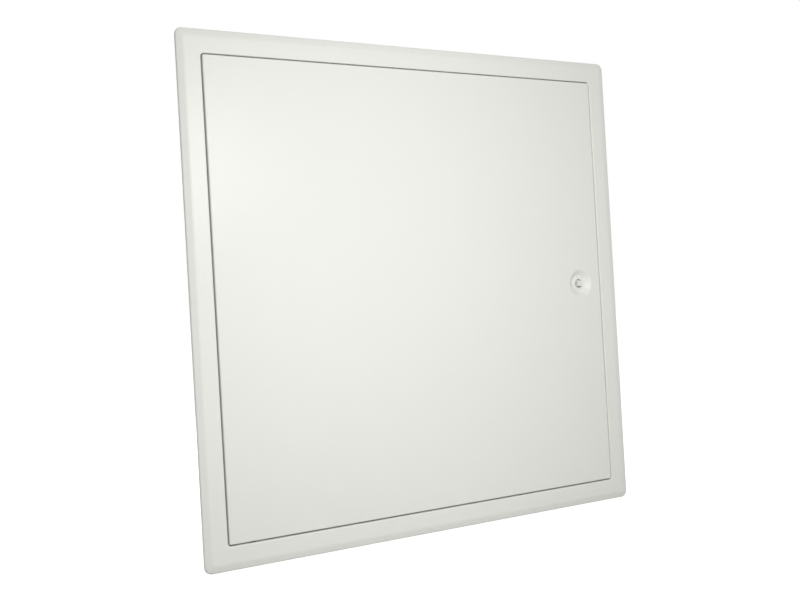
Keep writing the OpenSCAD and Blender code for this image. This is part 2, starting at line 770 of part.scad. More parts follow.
// The cam hangs down when the door is free and reaches behind the stop ledge when it is locked.
module lock_cam() {
    tip_r = cam_w / 2;
    color(ZINC) at_lock() translate([0, 0, cam_depth]) linear_extrude(cam_t) difference() {
        union() {
            circle(cam_r);
            translate([-tip_r, 0]) square([cam_w, cam_reach - tip_r]);
            translate([0, cam_reach - tip_r]) circle(tip_r);
        }
        square(tang_w + 2 * lock_fit, center = true);
    }
}

module cam_washer() {
    color(ZINC) at_lock() translate([0, 0, cam_depth + cam_t])
        ring(tang_w, screw_d / 2 + lock_fit, washer_t);
}

// A pan-head screw with a cross recess.
module cam_screw() {
    head_r = screw_d;
    recess = [screw_d * 1.1, screw_d * 0.28];
    back = cam_depth + cam_t + washer_t;
    shank_l = screw_l + cam_t + washer_t - tang_l - cut;
    color(ZINC) at_lock() difference() {
        union() {
            translate([0, 0, back - shank_l]) cylinder(d = screw_d - 2 * lock_fit, h = shank_l);
            translate([0, 0, back]) cylinder(r1 = head_r, r2 = head_r * 0.8, h = screw_head_t);
        }
        for (turn = [0, 90]) rotate([0, 0, turn]) translate([0, 0, back + screw_head_t])
            cube([recess.x, recess.y, screw_head_t], center = true);
    }
}

face_frame();
casing_top();
casing_bottom();
casing_hinge_side();
casing_lock_side();
corner_rivets();
stop_top();
stop_bottom();
stop_lock_side();
seal_top();
seal_bottom();
seal_lock_side();
upper_pivot_bush();
lower_pivot_bush();
door_skin();
stiffener_hinge_side();
stiffener_lock_side();
upper_pivot_bracket();
lower_pivot_bracket();
lower_pivot_pin();
thrust_washer();
lock_housing();
lock_nut();
bolt_spring();
spring_bolt();
bolt_clip();
bolt_knob();
lock_spindle();
friction_washer();
lock_cam();
cam_washer();
cam_screw();
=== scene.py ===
# %% [markdown]
# # A white access panel for a ceiling or wall
# The real panel is folded and pressed from thin steel sheet and powder coated white. A face frame
# lines a square hole in the board, and a flush door closes it. It could be modelled from nothing.
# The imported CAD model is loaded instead, because it has the true sizes and joints, and every later
# piece is fitted to it.

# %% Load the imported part
import json
import math
import bmesh
import bpy
from mathutils import Matrix, Vector, noise


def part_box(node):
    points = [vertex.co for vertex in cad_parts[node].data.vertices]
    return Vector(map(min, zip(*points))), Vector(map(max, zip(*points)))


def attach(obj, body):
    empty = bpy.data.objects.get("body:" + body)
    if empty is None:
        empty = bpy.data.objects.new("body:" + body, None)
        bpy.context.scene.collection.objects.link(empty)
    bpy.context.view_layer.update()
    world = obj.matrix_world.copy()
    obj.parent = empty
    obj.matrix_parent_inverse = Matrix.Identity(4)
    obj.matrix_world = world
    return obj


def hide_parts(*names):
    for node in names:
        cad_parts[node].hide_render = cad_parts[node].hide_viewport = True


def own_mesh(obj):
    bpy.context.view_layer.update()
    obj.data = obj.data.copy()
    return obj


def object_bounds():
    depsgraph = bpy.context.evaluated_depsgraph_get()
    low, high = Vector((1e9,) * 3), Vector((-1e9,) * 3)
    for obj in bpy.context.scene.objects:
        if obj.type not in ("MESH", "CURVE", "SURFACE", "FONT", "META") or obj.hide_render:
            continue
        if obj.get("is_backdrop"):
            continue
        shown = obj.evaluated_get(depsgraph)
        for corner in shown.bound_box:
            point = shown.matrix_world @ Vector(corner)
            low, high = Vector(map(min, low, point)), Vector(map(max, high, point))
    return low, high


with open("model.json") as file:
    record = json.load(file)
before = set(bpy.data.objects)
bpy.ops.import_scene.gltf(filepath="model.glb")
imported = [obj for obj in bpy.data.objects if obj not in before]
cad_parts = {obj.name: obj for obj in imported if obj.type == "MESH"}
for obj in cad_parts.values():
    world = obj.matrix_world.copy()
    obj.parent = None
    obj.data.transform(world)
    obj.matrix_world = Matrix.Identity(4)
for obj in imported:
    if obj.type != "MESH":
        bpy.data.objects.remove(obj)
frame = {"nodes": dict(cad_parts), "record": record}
cad_low, cad_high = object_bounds()
MM = 0.001
print("panel box in mm:", [round(side / MM, 1) for side in cad_high - cad_low])

# %% [markdown]
# ## Finishes
# A painted, plated or moulded surface is never one flat colour. Its changes could be painted on an
# unwrapped mesh. Here each finish is a small tree of noises that drifts the colour, the gloss and
# the height of the surface, at the scale the real one shows. The patterns read Object coordinates,
# so they keep their size on every piece and need no unwrapping.
#
# ### White powder coat
# The paint is sprayed as dry powder and baked, so it flows into a satin skin. It could be one plain
# white. Two slow noises drift the white and the gloss by a hair, and a thin gloss coat over the
# dull base gives the soft bright patch that such a paint shows where a lamp is mirrored.

# %% Colour and gloss of the white powder coat
finishes = {}


def start_finish(name):
    """A new finish, with its shader and the Object coordinates that every pattern here reads."""
    finish = bpy.data.materials.new(name)
    finish.use_nodes = True
    finishes[name] = finish
    tree = finish.node_tree
    place = tree.nodes.new("ShaderNodeTexCoord").outputs["Object"]
    return tree, tree.nodes["Principled BSDF"], place


def noise_on(tree, place, grain, detail=2.0):
    """A soft noise whose grain is about this many mm across."""
    clouds = tree.nodes.new("ShaderNodeTexNoise")
    clouds.inputs["Scale"].default_value = 1.0 / (grain * MM)
    clouds.inputs["Detail"].default_value = detail
    tree.links.new(place, clouds.inputs["Vector"])
    return clouds.outputs["Fac"]


def tint_between(tree, share, first, second, socket):
    """Drives a colour socket between two colours."""
    mix = tree.nodes.new("ShaderNodeMix")
    mix.data_type = "RGBA"
    mix.inputs["A"].default_value = (*first, 1.0)
    mix.inputs["B"].default_value = (*second, 1.0)
    tree.links.new(share, mix.inputs["Factor"])
    tree.links.new(mix.outputs["Result"], socket)


def range_to(tree, share, low, high, socket):
    """Drives a number socket between two numbers."""
    span = tree.nodes.new("ShaderNodeMapRange")
    span.inputs["To Min"].default_value = low
    span.inputs["To Max"].default_value = high
    tree.links.new(share, span.inputs["Value"])
    tree.links.new(span.outputs["Result"], socket)


SOFT_WHITE, CLEAN_WHITE = (0.80, 0.805, 0.75), (0.815, 0.82, 0.77)
tree, shader, place = start_finish("white_coat")
tint_between(tree, noise_on(tree, place, grain=60), SOFT_WHITE, CLEAN_WHITE,
             shader.inputs["Base Color"])
range_to(tree, noise_on(tree, place, grain=8), low=0.46, high=0.54,
         socket=shader.inputs["Roughness"])
shader.inputs["Coat Weight"].default_value = 0.16
shader.inputs["Coat Roughness"].default_value = 0.24
print("white_coat drifts from", SOFT_WHITE, "to", CLEAN_WHITE)

# %% [markdown]
# As the powder melts it rounds the edges and sets with a fine orange peel. Both could be modelled,
# but a peel of a hundredth of a millimetre would take millions of faces. A Bevel node rounds the
# normals at the edges and a Bump node tilts them over the peel, so the mesh stays light.

# %% Edges and peel of the white powder coat


def soft_edges(tree, radius):
    """A normal that rounds every sharp edge by this radius in mm, as paint or plating does."""
    rounder = tree.nodes.new("ShaderNodeBevel")
    rounder.samples = 4
    rounder.inputs["Radius"].default_value = radius * MM
    return rounder.outputs["Normal"]


def bump_with(tree, height, depth, under, socket):
    """Raises the surface by up to this many mm where the height is 1, over the normal under it."""
    bump = tree.nodes.new("ShaderNodeBump")
    bump.inputs["Distance"].default_value = depth * MM
    tree.links.new(height, bump.inputs["Height"])
    tree.links.new(under, bump.inputs["Normal"])
    tree.links.new(bump.outputs["Normal"], socket)


bump_with(tree, noise_on(tree, place, grain=1.6, detail=1.0), depth=0.012,
          under=soft_edges(tree, radius=0.25), socket=shader.inputs["Normal"])
print("white_coat has", len(tree.nodes), "nodes")

# %% [markdown]
# ### White coat of the lock
# The lock's housing and spindle are small die castings with a thinner, glossier white coat than the
# sheet has. They could share the sheet's finish, but its slow drift would leave them one flat tone.
# The same noises make this coat with a finer grain.

# %% The white coat of the lock
CAST_SHADE, CAST_WHITE = (0.79, 0.80, 0.75), (0.81, 0.82, 0.77)
tree, shader, place = start_finish("lock_white")
tint_between(tree, noise_on(tree, place, grain=9), CAST_SHADE, CAST_WHITE,
             shader.inputs["Base Color"])
range_to(tree, noise_on(tree, place, grain=3), low=0.32, high=0.40,
         socket=shader.inputs["Roughness"])
bump_with(tree, noise_on(tree, place, grain=0.9, detail=1.0), depth=0.006,
          under=soft_edges(tree, radius=0.15), socket=shader.inputs["Normal"])
print("lock_white drifts from", CAST_SHADE, "to", CAST_WHITE)

# %% [markdown]
# ### Bright zinc plate
# Brackets, pins, rivets and the nut, cam and screw of the lock are plated so that they don't rust.
# Zinc is a metal, so its colour is in its reflections. A plain metal would look like chrome. Cells
# of a few millimetres give the faint crystal mottle of the plating, and a noise gives its bluish
# tint.

# %% The zinc plate
BLUE_ZINC, PALE_ZINC = (0.47, 0.49, 0.52), (0.57, 0.575, 0.575)


def cells_on(tree, place, grain):
    """A pattern of cells about this many mm across, from 0 in their middles up to their walls."""
    cells = tree.nodes.new("ShaderNodeTexVoronoi")
    cells.inputs["Scale"].default_value = 1.0 / (grain * MM)
    tree.links.new(place, cells.inputs["Vector"])
    return cells.outputs["Distance"]


tree, shader, place = start_finish("zinc_plate")
shader.inputs["Metallic"].default_value = 1.0
tint_between(tree, noise_on(tree, place, grain=7), BLUE_ZINC, PALE_ZINC,
             shader.inputs["Base Color"])
range_to(tree, cells_on(tree, place, grain=2.2), low=0.28, high=0.44,
         socket=shader.inputs["Roughness"])
bump_with(tree, noise_on(tree, place, grain=0.5, detail=3.0), depth=0.006,
          under=soft_edges(tree, radius=0.15), socket=shader.inputs["Normal"])
print("zinc_plate drifts from", BLUE_ZINC, "to", PALE_ZINC)

# %% [markdown]
# ### Black acetal
# The bushes and bearing washers are moulded from a hard, slippery plastic, and the knob is turned
# from a bar of it. It is nearly black, with a dull gloss. Plain black would look like a hole in the
# picture, so a fine noise breaks up the gloss and leaves the colour almost even.

# %% The acetal
DEEP_BLACK, WORN_BLACK = (0.028, 0.028, 0.030), (0.040, 0.040, 0.042)
tree, shader, place = start_finish("acetal")
tint_between(tree, noise_on(tree, place, grain=4), DEEP_BLACK, WORN_BLACK,
             shader.inputs["Base Color"])
range_to(tree, noise_on(tree, place, grain=1.5, detail=4.0), low=0.36, high=0.52,
         socket=shader.inputs["Roughness"])
bump_with(tree, noise_on(tree, place, grain=0.3), depth=0.005,
          under=soft_edges(tree, radius=0.2), socket=shader.inputs["Normal"])
print("acetal drifts from", DEEP_BLACK, "to", WORN_BLACK)

# %% [markdown]
# ### Foam
# The seals are strips cut from a sheet of closed-cell foam, so their skin is all tiny cells. The
# cells could be modelled, but there are thousands. Small cells of one pattern give both the relief
# and the change of grey from a cell's middle to its wall.

# %% The foam
CELL_MIDDLE, CELL_WALL = (0.075, 0.075, 0.080), (0.040, 0.040, 0.044)
tree, shader, place = start_finish("foam")
cells = cells_on(tree, place, grain=0.6)
tint_between(tree, cells, CELL_MIDDLE, CELL_WALL, shader.inputs["Base Color"])
range_to(tree, noise_on(tree, place, grain=5), low=0.86, high=0.96,
         socket=shader.inputs["Roughness"])
bump_with(tree, cells, depth=0.10, under=soft_edges(tree, radius=0.4),
          socket=shader.inputs["Normal"])
print("foam drifts from", CELL_MIDDLE, "to", CELL_WALL)

# %% [markdown]
# ### Put the finishes on
# The record says which finish each node has, so the nodes needn't be named here one by one. The CAD
# shapes of the casing, stops, stiffeners, brackets and pins are exact already. They stay as they
# are and only get their finish.

# %% Put the finishes on the CAD nodes
for subpart in frame["record"]["subparts"]:
    coated = frame["nodes"][subpart["node"]].data.materials
    coated.clear()
    coated.append(finishes[subpart["material_slot"]])

# %% [markdown]
# ## Face frame
# The frame is pressed from one sheet: a collar lines the opening, a flat flange covers the edge of
# the board, and the flange's outer edge slopes softly down to a rim. Its section could be drawn
# point by point. Here it is drawn as sharp corners, and a vertex bevel rounds each fold to its own
# radius, so a fold is one number, as it is for the press.

# %% The section of the frame


def section(corners, folds):
    """A row of (reach, depth) points in mm: sharp corners in a row, with some rounded.

    Each fold is the number of a corner, its radius and its steps."""
    bm = bmesh.new()
    row = [bm.verts.new((reach, depth, 0.0)) for reach, depth in corners]
    for first, second in zip(row, row[1:]):
        bm.edges.new((first, second))
    for number, radius, steps in folds:
        before, at, after = (Vector(corners[number + step]) for step in (-1, 0, 1))
        turn = (at - before).angle(after - at)
        bmesh.ops.bevel(bm, geom=[row[number]], offset=radius * math.tan(turn / 2),
                        offset_type="OFFSET", segments=steps, profile=0.5, affect="VERTICES",
                        material=-1)
    at, came = row[0], None
    points = [at.co.to_2d()]
    while onward := [edge for edge in at.link_edges if edge != came]:
        came = onward[0]
        at = came.other_vert(at)
        points.append(at.co.to_2d())
    bm.free()
    return points


frame_low, frame_high = (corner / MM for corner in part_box("face_frame"))
rim_half, front, collar_end = frame_high.x, frame_low.y, frame_high.y
OPENING_HALF, FLAT_HALF = 300.0, 318.94
FRAME_FOLD, EDGE_BEND, RIM_TURN = 1.8, 12.5, 2.5
EDGE_SINE, EDGE_COSINE = 0.28, 0.96
bend_at = FLAT_HALF + EDGE_BEND * math.tan(math.asin(EDGE_SINE) / 2)
rim_front = front + EDGE_SINE / EDGE_COSINE * (rim_half - bend_at)
edge_line = section(
    [(OPENING_HALF, collar_end), (OPENING_HALF, front), (bend_at, front), (rim_half, rim_front),
     (rim_half, 0.0)],
    [(1, FRAME_FOLD, 6), (2, EDGE_BEND, 8), (3, RIM_TURN, 8)])
print("frame section:", len(edge_line), "points from the collar to the rim")

# %% [markdown]
# ### Corners of the frame
# A sweep of the section round the opening would tie every corner to the same centre. A press leaves
# the soft edge rounder at the rim than at the flat, so each point of the section gets a corner
# radius of its own.

# %% Corner radii of the frame
OPENING_R, FLAT_R, RIM_R = 4.5, 2.0, 9.5


def frame_corner(half):
    """Corner radius at a half size: it grows from the opening, and again over the soft edge."""
    if half < (OPENING_HALF + FLAT_HALF) / 2:
        return OPENING_R + half - OPENING_HALF
    return FLAT_R + (RIM_R - FLAT_R) * (half - FLAT_HALF) / (rim_half - FLAT_HALF)


frame_loops = [(half, frame_corner(half), depth) for half, depth in edge_line]
print("frame corners in mm:", [round(radius, 1) for _, radius, _ in frame_loops])

# %% [markdown]
# ### Skin of the frame
# Each point of the section is now a square loop with round corners. The faces between the loops
# could be made corner by corner. Bridging the loops in turn makes a whole ring of faces at a time.

# %% The skin of the frame


def square_loop(bm, half, radius, depth, steps):
    """The edges of a square across the panel with round corners, drawn in mm."""
    facing = Matrix.Translation((0, depth, 0)) @ Matrix.Rotation(math.radians(90), 4, "X")
    square = bmesh.ops.create_grid(bm, x_segments=1, y_segments=1, size=half, matrix=facing)
    bmesh.ops.bevel(bm, geom=square["verts"], offset=radius, offset_type="OFFSET", segments=steps,
                    profile=0.5, affect="VERTICES", material=-1)
    face = next(iter(bm.faces))
    edges = face.edges[:]
    bmesh.ops.delete(bm, geom=[face], context="FACES_ONLY")
    return edges


def loft(bm, stations, steps):
    """Bridges square loops, each given by half size, corner radius and depth in mm, into one skin.

    The loops start far apart, so that no bridge twists, and are then pushed to their true depths.
    The skin is in metres."""
    apart = 100.0
    loops = [square_loop(bm, half, radius, number * apart, steps)
             for number, (half, radius, _) in enumerate(stations)]
    for first, second in zip(loops, loops[1:]):
        bmesh.ops.bridge_loops(bm, edges=first + second)
    for number, (loop, (_, _, depth)) in enumerate(zip(loops, stations)):
        verts = list({vert for edge in loop for vert in edge.verts})
        bmesh.ops.translate(bm, vec=(0, depth - number * apart, 0), verts=verts)
    bmesh.ops.scale(bm, vec=(MM, MM, MM), verts=bm.verts)


SEAM = 0.001 * MM


def face_forwards(bm):
    """Merges doubles and turns an open skin so that its widest faces look out of the wall."""
    bmesh.ops.remove_doubles(bm, verts=bm.verts, dist=SEAM)
    bmesh.ops.recalc_face_normals(bm, faces=bm.faces)
    if max(bm.faces, key=lambda face: face.calc_area()).normal.y > 0:
        bmesh.ops.reverse_faces(bm, faces=bm.faces)


bm = bmesh.new()
loft(bm, frame_loops, steps=12)
face_forwards(bm)
print("frame skin:", len(bm.faces), "faces")

# %% [markdown]
# ### Sheet of the frame
# The skin has no thickness yet. A second skin could be drawn inside it, but a Solidify modifier
# follows every bend, and it grows inwards so that the outside keeps its size. Each piece also gets
# its finish, rides on the body that it moves with, and hides the CAD node it stands for.

# %% The frame as a sheet


def mesh_of(name, bm):
    """Keeps a bmesh as a mesh of this name."""
    mesh = bpy.data.meshes.new(name)
    bm.to_mesh(mesh)
    bm.free()
    return mesh


def in_scene(name, data):
    """A new object of this name in the scene."""
    thing = bpy.data.objects.new(name, data)
    bpy.context.scene.collection.objects.link(thing)
    return thing


def show(name, bm, body, slot, *nodes):
    """Makes a bmesh a piece of the panel, with a finish, on a body, in place of CAD nodes."""
    mesh = mesh_of(name, bm)
    mesh.materials.append(finishes[slot])
    piece = in_scene(name, mesh)
    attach(piece, body)
    if nodes:
        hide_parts(*nodes)
    return piece


def give_thickness(piece, sheet):
    """Thickens a skin inwards to its sheet, in mm."""
    gauge = piece.modifiers.new("gauge", "SOLIDIFY")
    gauge.thickness = sheet * MM
    gauge.offset = -1.0
    gauge.use_even_offset = True


FRAME_SHEET = 1.2
pressed_frame = show("pressed_face_frame", bm, "frame", "white_coat", "face_frame")
give_thickness(pressed_frame, FRAME_SHEET)
print(pressed_frame.name, "is", FRAME_SHEET, "mm thick")

# %% [markdown]
# ### Holes for the pivot bushes
# The collar has a hole at top and bottom, where a bush takes a pin of the door. The holes could be
# left open in the loft, but its loops run straight past them. So they are drilled through the
# finished sheet with a Boolean. The axis comes from the joint in the record, so the holes can't
# miss the pins.

# %% Drill the frame for its pivot bushes


def joint_named(name):
    """The joint of this name in the record."""
    joints = frame["record"]["behaviour"]["joints"]
    return next(joint for joint in joints if joint["name"] == name)


pivot = Vector(joint_named("door_swing")["pos_m"])
DRILL_L, DRILL_SIDES, BUSH_HOLE_R = 8.0, 48, 4.1


def pivot_drill(half, radius):
    """A drill that crosses the top and bottom walls at the pivot axis."""
    drill = bmesh.new()
    for side in (-1, 1):
        place = Matrix.Translation(pivot + Vector((0, 0, side * half * MM)))
        bmesh.ops.create_cone(drill, cap_ends=True, segments=DRILL_SIDES, radius1=radius * MM,
                              radius2=radius * MM, depth=DRILL_L * MM, matrix=place)
    return drill


def as_shown(piece):
    """The piece once its modifiers are done."""
    return piece.evaluated_get(bpy.context.evaluated_depsgraph_get())


def cut_with(piece, cutter, operation="DIFFERENCE"):
    """Cuts a piece with a bmesh, and keeps the result as the piece's own mesh."""
    bmesh.ops.recalc_face_normals(cutter, faces=cutter.faces)
    tool_mesh = mesh_of("cutter", cutter)
    tool = in_scene("cutter", tool_mesh)
    cut = piece.modifiers.new("cut", "BOOLEAN")
    cut.operation = operation
    cut.solver = "EXACT"
    cut.object = tool
    shaped = bpy.data.meshes.new_from_object(as_shown(piece))
    piece.modifiers.clear()
    spent, name = piece.data, piece.data.name
    piece.data = shaped
    bpy.data.meshes.remove(spent)
    shaped.name = name
    bpy.data.objects.remove(tool)
    bpy.data.meshes.remove(tool_mesh)


cut_with(pressed_frame, pivot_drill(OPENING_HALF, BUSH_HOLE_R))
print("bush holes of", 2 * BUSH_HOLE_R, "mm on the axis at", [round(at / MM, 1) for at in pivot])

# %% [markdown]
# ### Edges of the frame
# A cut edge of painted sheet is never knife sharp. The edges could be beveled in the mesh, but
# after a Boolean they are hard to pick, so a Bevel modifier finds them by their angle. It may leave
# points on top of each other, which a Weld modifier joins, and weighted normals keep the flats
# flat.

# %% Ease the edges of the frame
JOIN = 0.002 * MM


def ease_edges(piece, width, angle=40):
    """Rounds the sharp edges of a piece to a width in mm, or only shades them where it is 0.

    Points that the rounding leaves on one another are joined."""
    piece.data.shade_smooth()
    if width:
        eased = piece.modifiers.new("eased_edges", "BEVEL")
        eased.width = width * MM
        eased.segments = 2
        eased.limit_method = "ANGLE"
        eased.angle_limit = math.radians(angle)
        joined = piece.modifiers.new("joined_points", "WELD")
        joined.merge_threshold = JOIN
    evened = piece.modifiers.new("even_shading", "WEIGHTED_NORMAL")
    evened.keep_sharp = True
    sharp_from = 180 if width else angle
    piece.data.set_sharp_from_angle(angle=math.radians(sharp_from))


def count(piece):
    """Prints a piece's name and how many faces it has once its modifiers are done."""
    whole = as_shown(piece)
    print(piece.name, "has", len(whole.to_mesh().polygons), "faces")
    whole.to_mesh_clear()


ease_edges(pressed_frame, width=0.15)
count(pressed_frame)

# %% [markdown]
# ## Door skin
# The door is a shallow pan: one sheet with its edges folded back twice, and a round dish pressed in
# for the lock. The dish could be pushed into a fine grid, which would leave it ragged. It is a
# section spun round the lock's axis instead, so its wall is as even as a pressed one.

# %% The dish of the door
BACKWARDS = Vector((0, 1, 0))
lock_at = Vector(joint_named("lock_turn")["pos_m"])


def turned(bm, outline, centre, axis, steps=64, closed=False):
    """Spins an outline of (radius, along) points in mm round an axis through a centre."""
    away = axis.orthogonal().normalized()
    row = [bm.verts.new(centre + (away * radius + axis * along) * MM) for radius, along in outline]
    onward = row[1:] + row[:1] if closed else row[1:]
    wire = [bm.edges.new(pair) for pair in zip(row, onward)]
    bmesh.ops.spin(bm, geom=row + wire, cent=centre, axis=axis, dvec=(0, 0, 0), angle=math.tau,
                   steps=steps, use_merge=True, use_duplicate=False)


DISH_R, DISH_DEPTH, DISH_RING = 21.5, 6.0, 1.0
DISH_SHOULDER, DISH_FOOT = 5.0, 4.0
DISH_SINE, DISH_COSINE = 0.6, 0.8
BARREL_R, FIT = 8.0, 0.06
shoulder_at = DISH_R - DISH_SHOULDER * math.tan(math.asin(DISH_SINE) / 2)
foot_at = shoulder_at - DISH_DEPTH * DISH_COSINE / DISH_SINE
dish_line = section(
    [(DISH_R + DISH_RING, 0.0), (shoulder_at, 0.0), (foot_at, DISH_DEPTH),
     (BARREL_R + FIT, DISH_DEPTH)],
    [(1, DISH_SHOULDER, 10), (2, DISH_FOOT, 10)])
bm = bmesh.new()
turned(bm, dish_line, lock_at, BACKWARDS, steps=96)
dish_rim = [edge for edge in bm.edges if edge.is_boundary
            and all((vert.co - lock_at).length > DISH_R * MM for vert in edge.verts)]
print("dish:", len(bm.faces), "faces,", len(dish_rim), "edges round its rim")

# %% [markdown]
# ### Folded edges
# Each edge of the door is folded back, and its lip is folded in again, which stiffens the thin
# sheet. The folds could be extruded side by side. They are lofted like the frame's, so that they
# run round the corners without a seam. The gaps round the door differ a little, so the loft is
# stretched and moved to the box of the CAD door.

# %% The folded edges of the door
door_low, door_high = (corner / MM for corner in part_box("door_skin"))
door_half, door_back = (door_high.x - door_low.x) / 2, door_high.y
door_middle = Vector((door_low.x + door_high.x, 0, door_low.z + door_high.z)) / 2 * MM
door_stretch = (door_high.z - door_low.z) / (door_high.x - door_low.x)
DOOR_R, DOOR_LIP, DOOR_FOLD = 2.5, 12.0, 1.6
FLAT_INSET, TIP_R = 8.0, 0.15
door_line = section(
    [(door_half - DOOR_LIP, door_back), (door_half, door_back), (door_half, front),
     (door_half - FLAT_INSET, front)],
    [(1, DOOR_FOLD, 6), (2, DOOR_FOLD, 8)])
pan = bmesh.new()
loft(pan, [(half, max(DOOR_R - door_half + half, TIP_R), depth) for half, depth in door_line],
     steps=10)
bmesh.ops.scale(pan, vec=(1, 1, door_stretch), verts=pan.verts)
bmesh.ops.translate(pan, vec=door_middle, verts=pan.verts)
print("folded edges:", len(pan.faces), "faces, stretched by", round(door_stretch, 5))

# %% [markdown]
# ### Flat of the door
# Between the folds and the dish the sheet is flat. One large face with a hole in it isn't possible
# in a mesh, so triangles fill the space between the two rims. That joins all three parts into one
# skin. Its thickness comes last, so the inside of every fold follows its outside.

# %% The flat of the door
pan_mesh = mesh_of("folded_edges", pan)
bm.from_mesh(pan_mesh)
bpy.data.meshes.remove(pan_mesh)
SAME_LEVEL, DISH_CLEAR, DOOR_SHEET = 1e-6, 1.2 * DISH_R * MM, 1.0


def rims_the_flat(vert):
    """Whether a point is level with the flat and well clear of the dish."""
    return (abs(vert.co.y - front * MM) < SAME_LEVEL
            and (vert.co - lock_at).length > DISH_CLEAR)


pan_rim = [edge for edge in bm.edges
           if edge.is_boundary and all(rims_the_flat(vert) for vert in edge.verts)]
bmesh.ops.triangle_fill(bm, use_beauty=True, use_dissolve=False, edges=pan_rim + dish_rim,
                        normal=(0, -1, 0))
face_forwards(bm)
door_pan = show("folded_door_skin", bm, "door", "white_coat", "door_skin")
give_thickness(door_pan, DOOR_SHEET)
print("flat of the door filled from", len(pan_rim), "edges of its folds")

# %% [markdown]
# ### Slits and pin holes
# A lip can't turn a corner without crumpling, so a real door has a slit there, and its pins pass
# through holes at top and bottom. The lips could be drawn as four strips. Cutting thin bars out of
# the lofted lip leaves the same slits, and the drill of the frame serves again for the holes.

# %% Slits and pin holes of the door
SLIT_W, SLIT_DEEP, PIN_HOLE_R = 1.6, 4 * DOOR_SHEET, 2.6
lip_half = (door_half - DOOR_LIP) * MM
slit_length = 2 * (DOOR_LIP - DOOR_R) * math.sqrt(2) * MM
slits = bmesh.new()
for across in (-1, 1):
    for up in (-1, 1):
        corner = Vector((across * lip_half, door_back * MM, up * lip_half))
        place = Matrix.Translation(door_middle + corner)
        turn = Matrix.Rotation(math.radians(-45 * across * up), 4, "Y")
        size = Matrix.Diagonal((slit_length, SLIT_DEEP * MM, SLIT_W * MM, 1))
        bmesh.ops.create_cube(slits, size=1.0, matrix=place @ turn @ size)
cut_with(door_pan, slits)
cut_with(door_pan, pivot_drill(door_half, PIN_HOLE_R))
ease_edges(door_pan, width=0.12)
count(door_pan)

# %% [markdown]
# ## Lock
# A square key turns the lock from the front. The housing's round head sits in the dish, its
# threaded barrel goes through the door, and a nut holds it from behind. It could be stacked from
# cylinders, which would leave faces inside. One closed outline spun round the axis makes head, cup
# and barrel as a single turned piece.

# %% The lock housing


def close_up(bm):
    """Merges the poles and seams of turned shapes and points their faces outwards."""
    bmesh.ops.remove_doubles(bm, verts=bm.verts, dist=SEAM)
    bmesh.ops.recalc_face_normals(bm, faces=bm.faces)


HEAD_R, HEAD_FRONT, CUP_R, CUP_END, JOURNAL_R = 9.8, 4.8, 6.4, 10.5, 5.06
BARREL_END, THREAD_START, THREAD_DEEP, CHAMFER = 21.9, 7.0, 0.5, 0.3
thread_root = BARREL_R - THREAD_DEEP
head_edge = [(HEAD_R - 0.6, HEAD_FRONT), (HEAD_R - 0.2, HEAD_FRONT + 0.15),
             (HEAD_R, HEAD_FRONT + 0.5)]
bm = bmesh.new()
turned(bm, [(CUP_R, HEAD_FRONT + CHAMFER), (CUP_R + CHAMFER, HEAD_FRONT), *head_edge,
            (HEAD_R, DISH_DEPTH), (BARREL_R, DISH_DEPTH), (BARREL_R, THREAD_START),
            (thread_root, THREAD_START + THREAD_DEEP), (thread_root, BARREL_END - CHAMFER),
            (thread_root - CHAMFER, BARREL_END), (JOURNAL_R, BARREL_END), (JOURNAL_R, CUP_END),
            (CUP_R, CUP_END)], lock_at, BACKWARDS, steps=72, closed=True)
close_up(bm)
print("turned housing:", len(bm.faces), "faces")

# %% [markdown]
# ### Thread
# The barrel's thread is one ridge that climbs round it. Rings would look much the same from afar
# but never meet, and a bump would leave the outline smooth. A small triangle is spun and pushed
# along at each step, which makes a true helix. It is a little narrower than its pitch, so the turns
# don't touch.

# %% The thread of the housing
PITCH, THREAD_STEPS, RUN_IN, RUN_OUT, ROOT_SINK = 1.0, 48, 0.6, 0.4, 0.1
TOOTH_W = 0.94 * PITCH
thread_turns = int((BARREL_END - THREAD_START - THREAD_DEEP - RUN_OUT) / PITCH) - 1
tooth_start, tooth_foot = THREAD_START + RUN_IN, thread_root - ROOT_SINK
tooth_line = [(tooth_foot, tooth_start), (BARREL_R, tooth_start + TOOTH_W / 2),
              (tooth_foot, tooth_start + TOOTH_W)]
tooth = [bm.verts.new(lock_at + Vector((radius, along, 0.0)) * MM) for radius, along in tooth_line]
tooth_face = bm.faces.new(tooth)
bmesh.ops.spin(bm, geom=tooth + tooth_face.edges[:] + [tooth_face], cent=lock_at, axis=BACKWARDS,
               dvec=BACKWARDS * PITCH / THREAD_STEPS * MM, angle=math.tau * thread_turns,
               steps=THREAD_STEPS * thread_turns, use_merge=False, use_duplicate=False)
bmesh.ops.recalc_face_normals(bm, faces=bm.faces)
housing = show("threaded_lock_housing", bm, "door", "lock_white", "lock_housing")
ease_edges(housing, width=0.0, angle=32)
count(housing)

# %% [markdown]
# ### Spindle
# The spindle is what the key turns. Its front is a square with a chamfered nose. The chamfers could
# be beveled flat, but a lathe leaves curved ones on a square bar. So the square is cut by a wide
# cone, which leaves the same curves.

# %% The square of the spindle


def on_lock_axis(depth):
    """Moves a shape to a depth in mm on the lock's axis."""
    return Matrix.Translation(lock_at + BACKWARDS * depth * MM)


def square_bar(bm, width, start, end, corner):
    """A square bar along the lock's axis between two depths, with its long edges rounded."""
    size = Matrix.Diagonal((width * MM, (end - start) * MM, width * MM, 1))
    place = on_lock_axis((start + end) / 2)
    verts = bmesh.ops.create_cube(bm, size=1.0, matrix=place @ size)["verts"]
    long_edges = {edge for vert in verts for edge in vert.link_edges
                  if abs((edge.verts[0].co - edge.verts[1].co).y) > (end - start) / 2 * MM}
    bmesh.ops.bevel(bm, geom=list(long_edges), offset=corner * MM, offset_type="OFFSET", segments=4,
                    profile=0.5, affect="EDGES", material=-1)


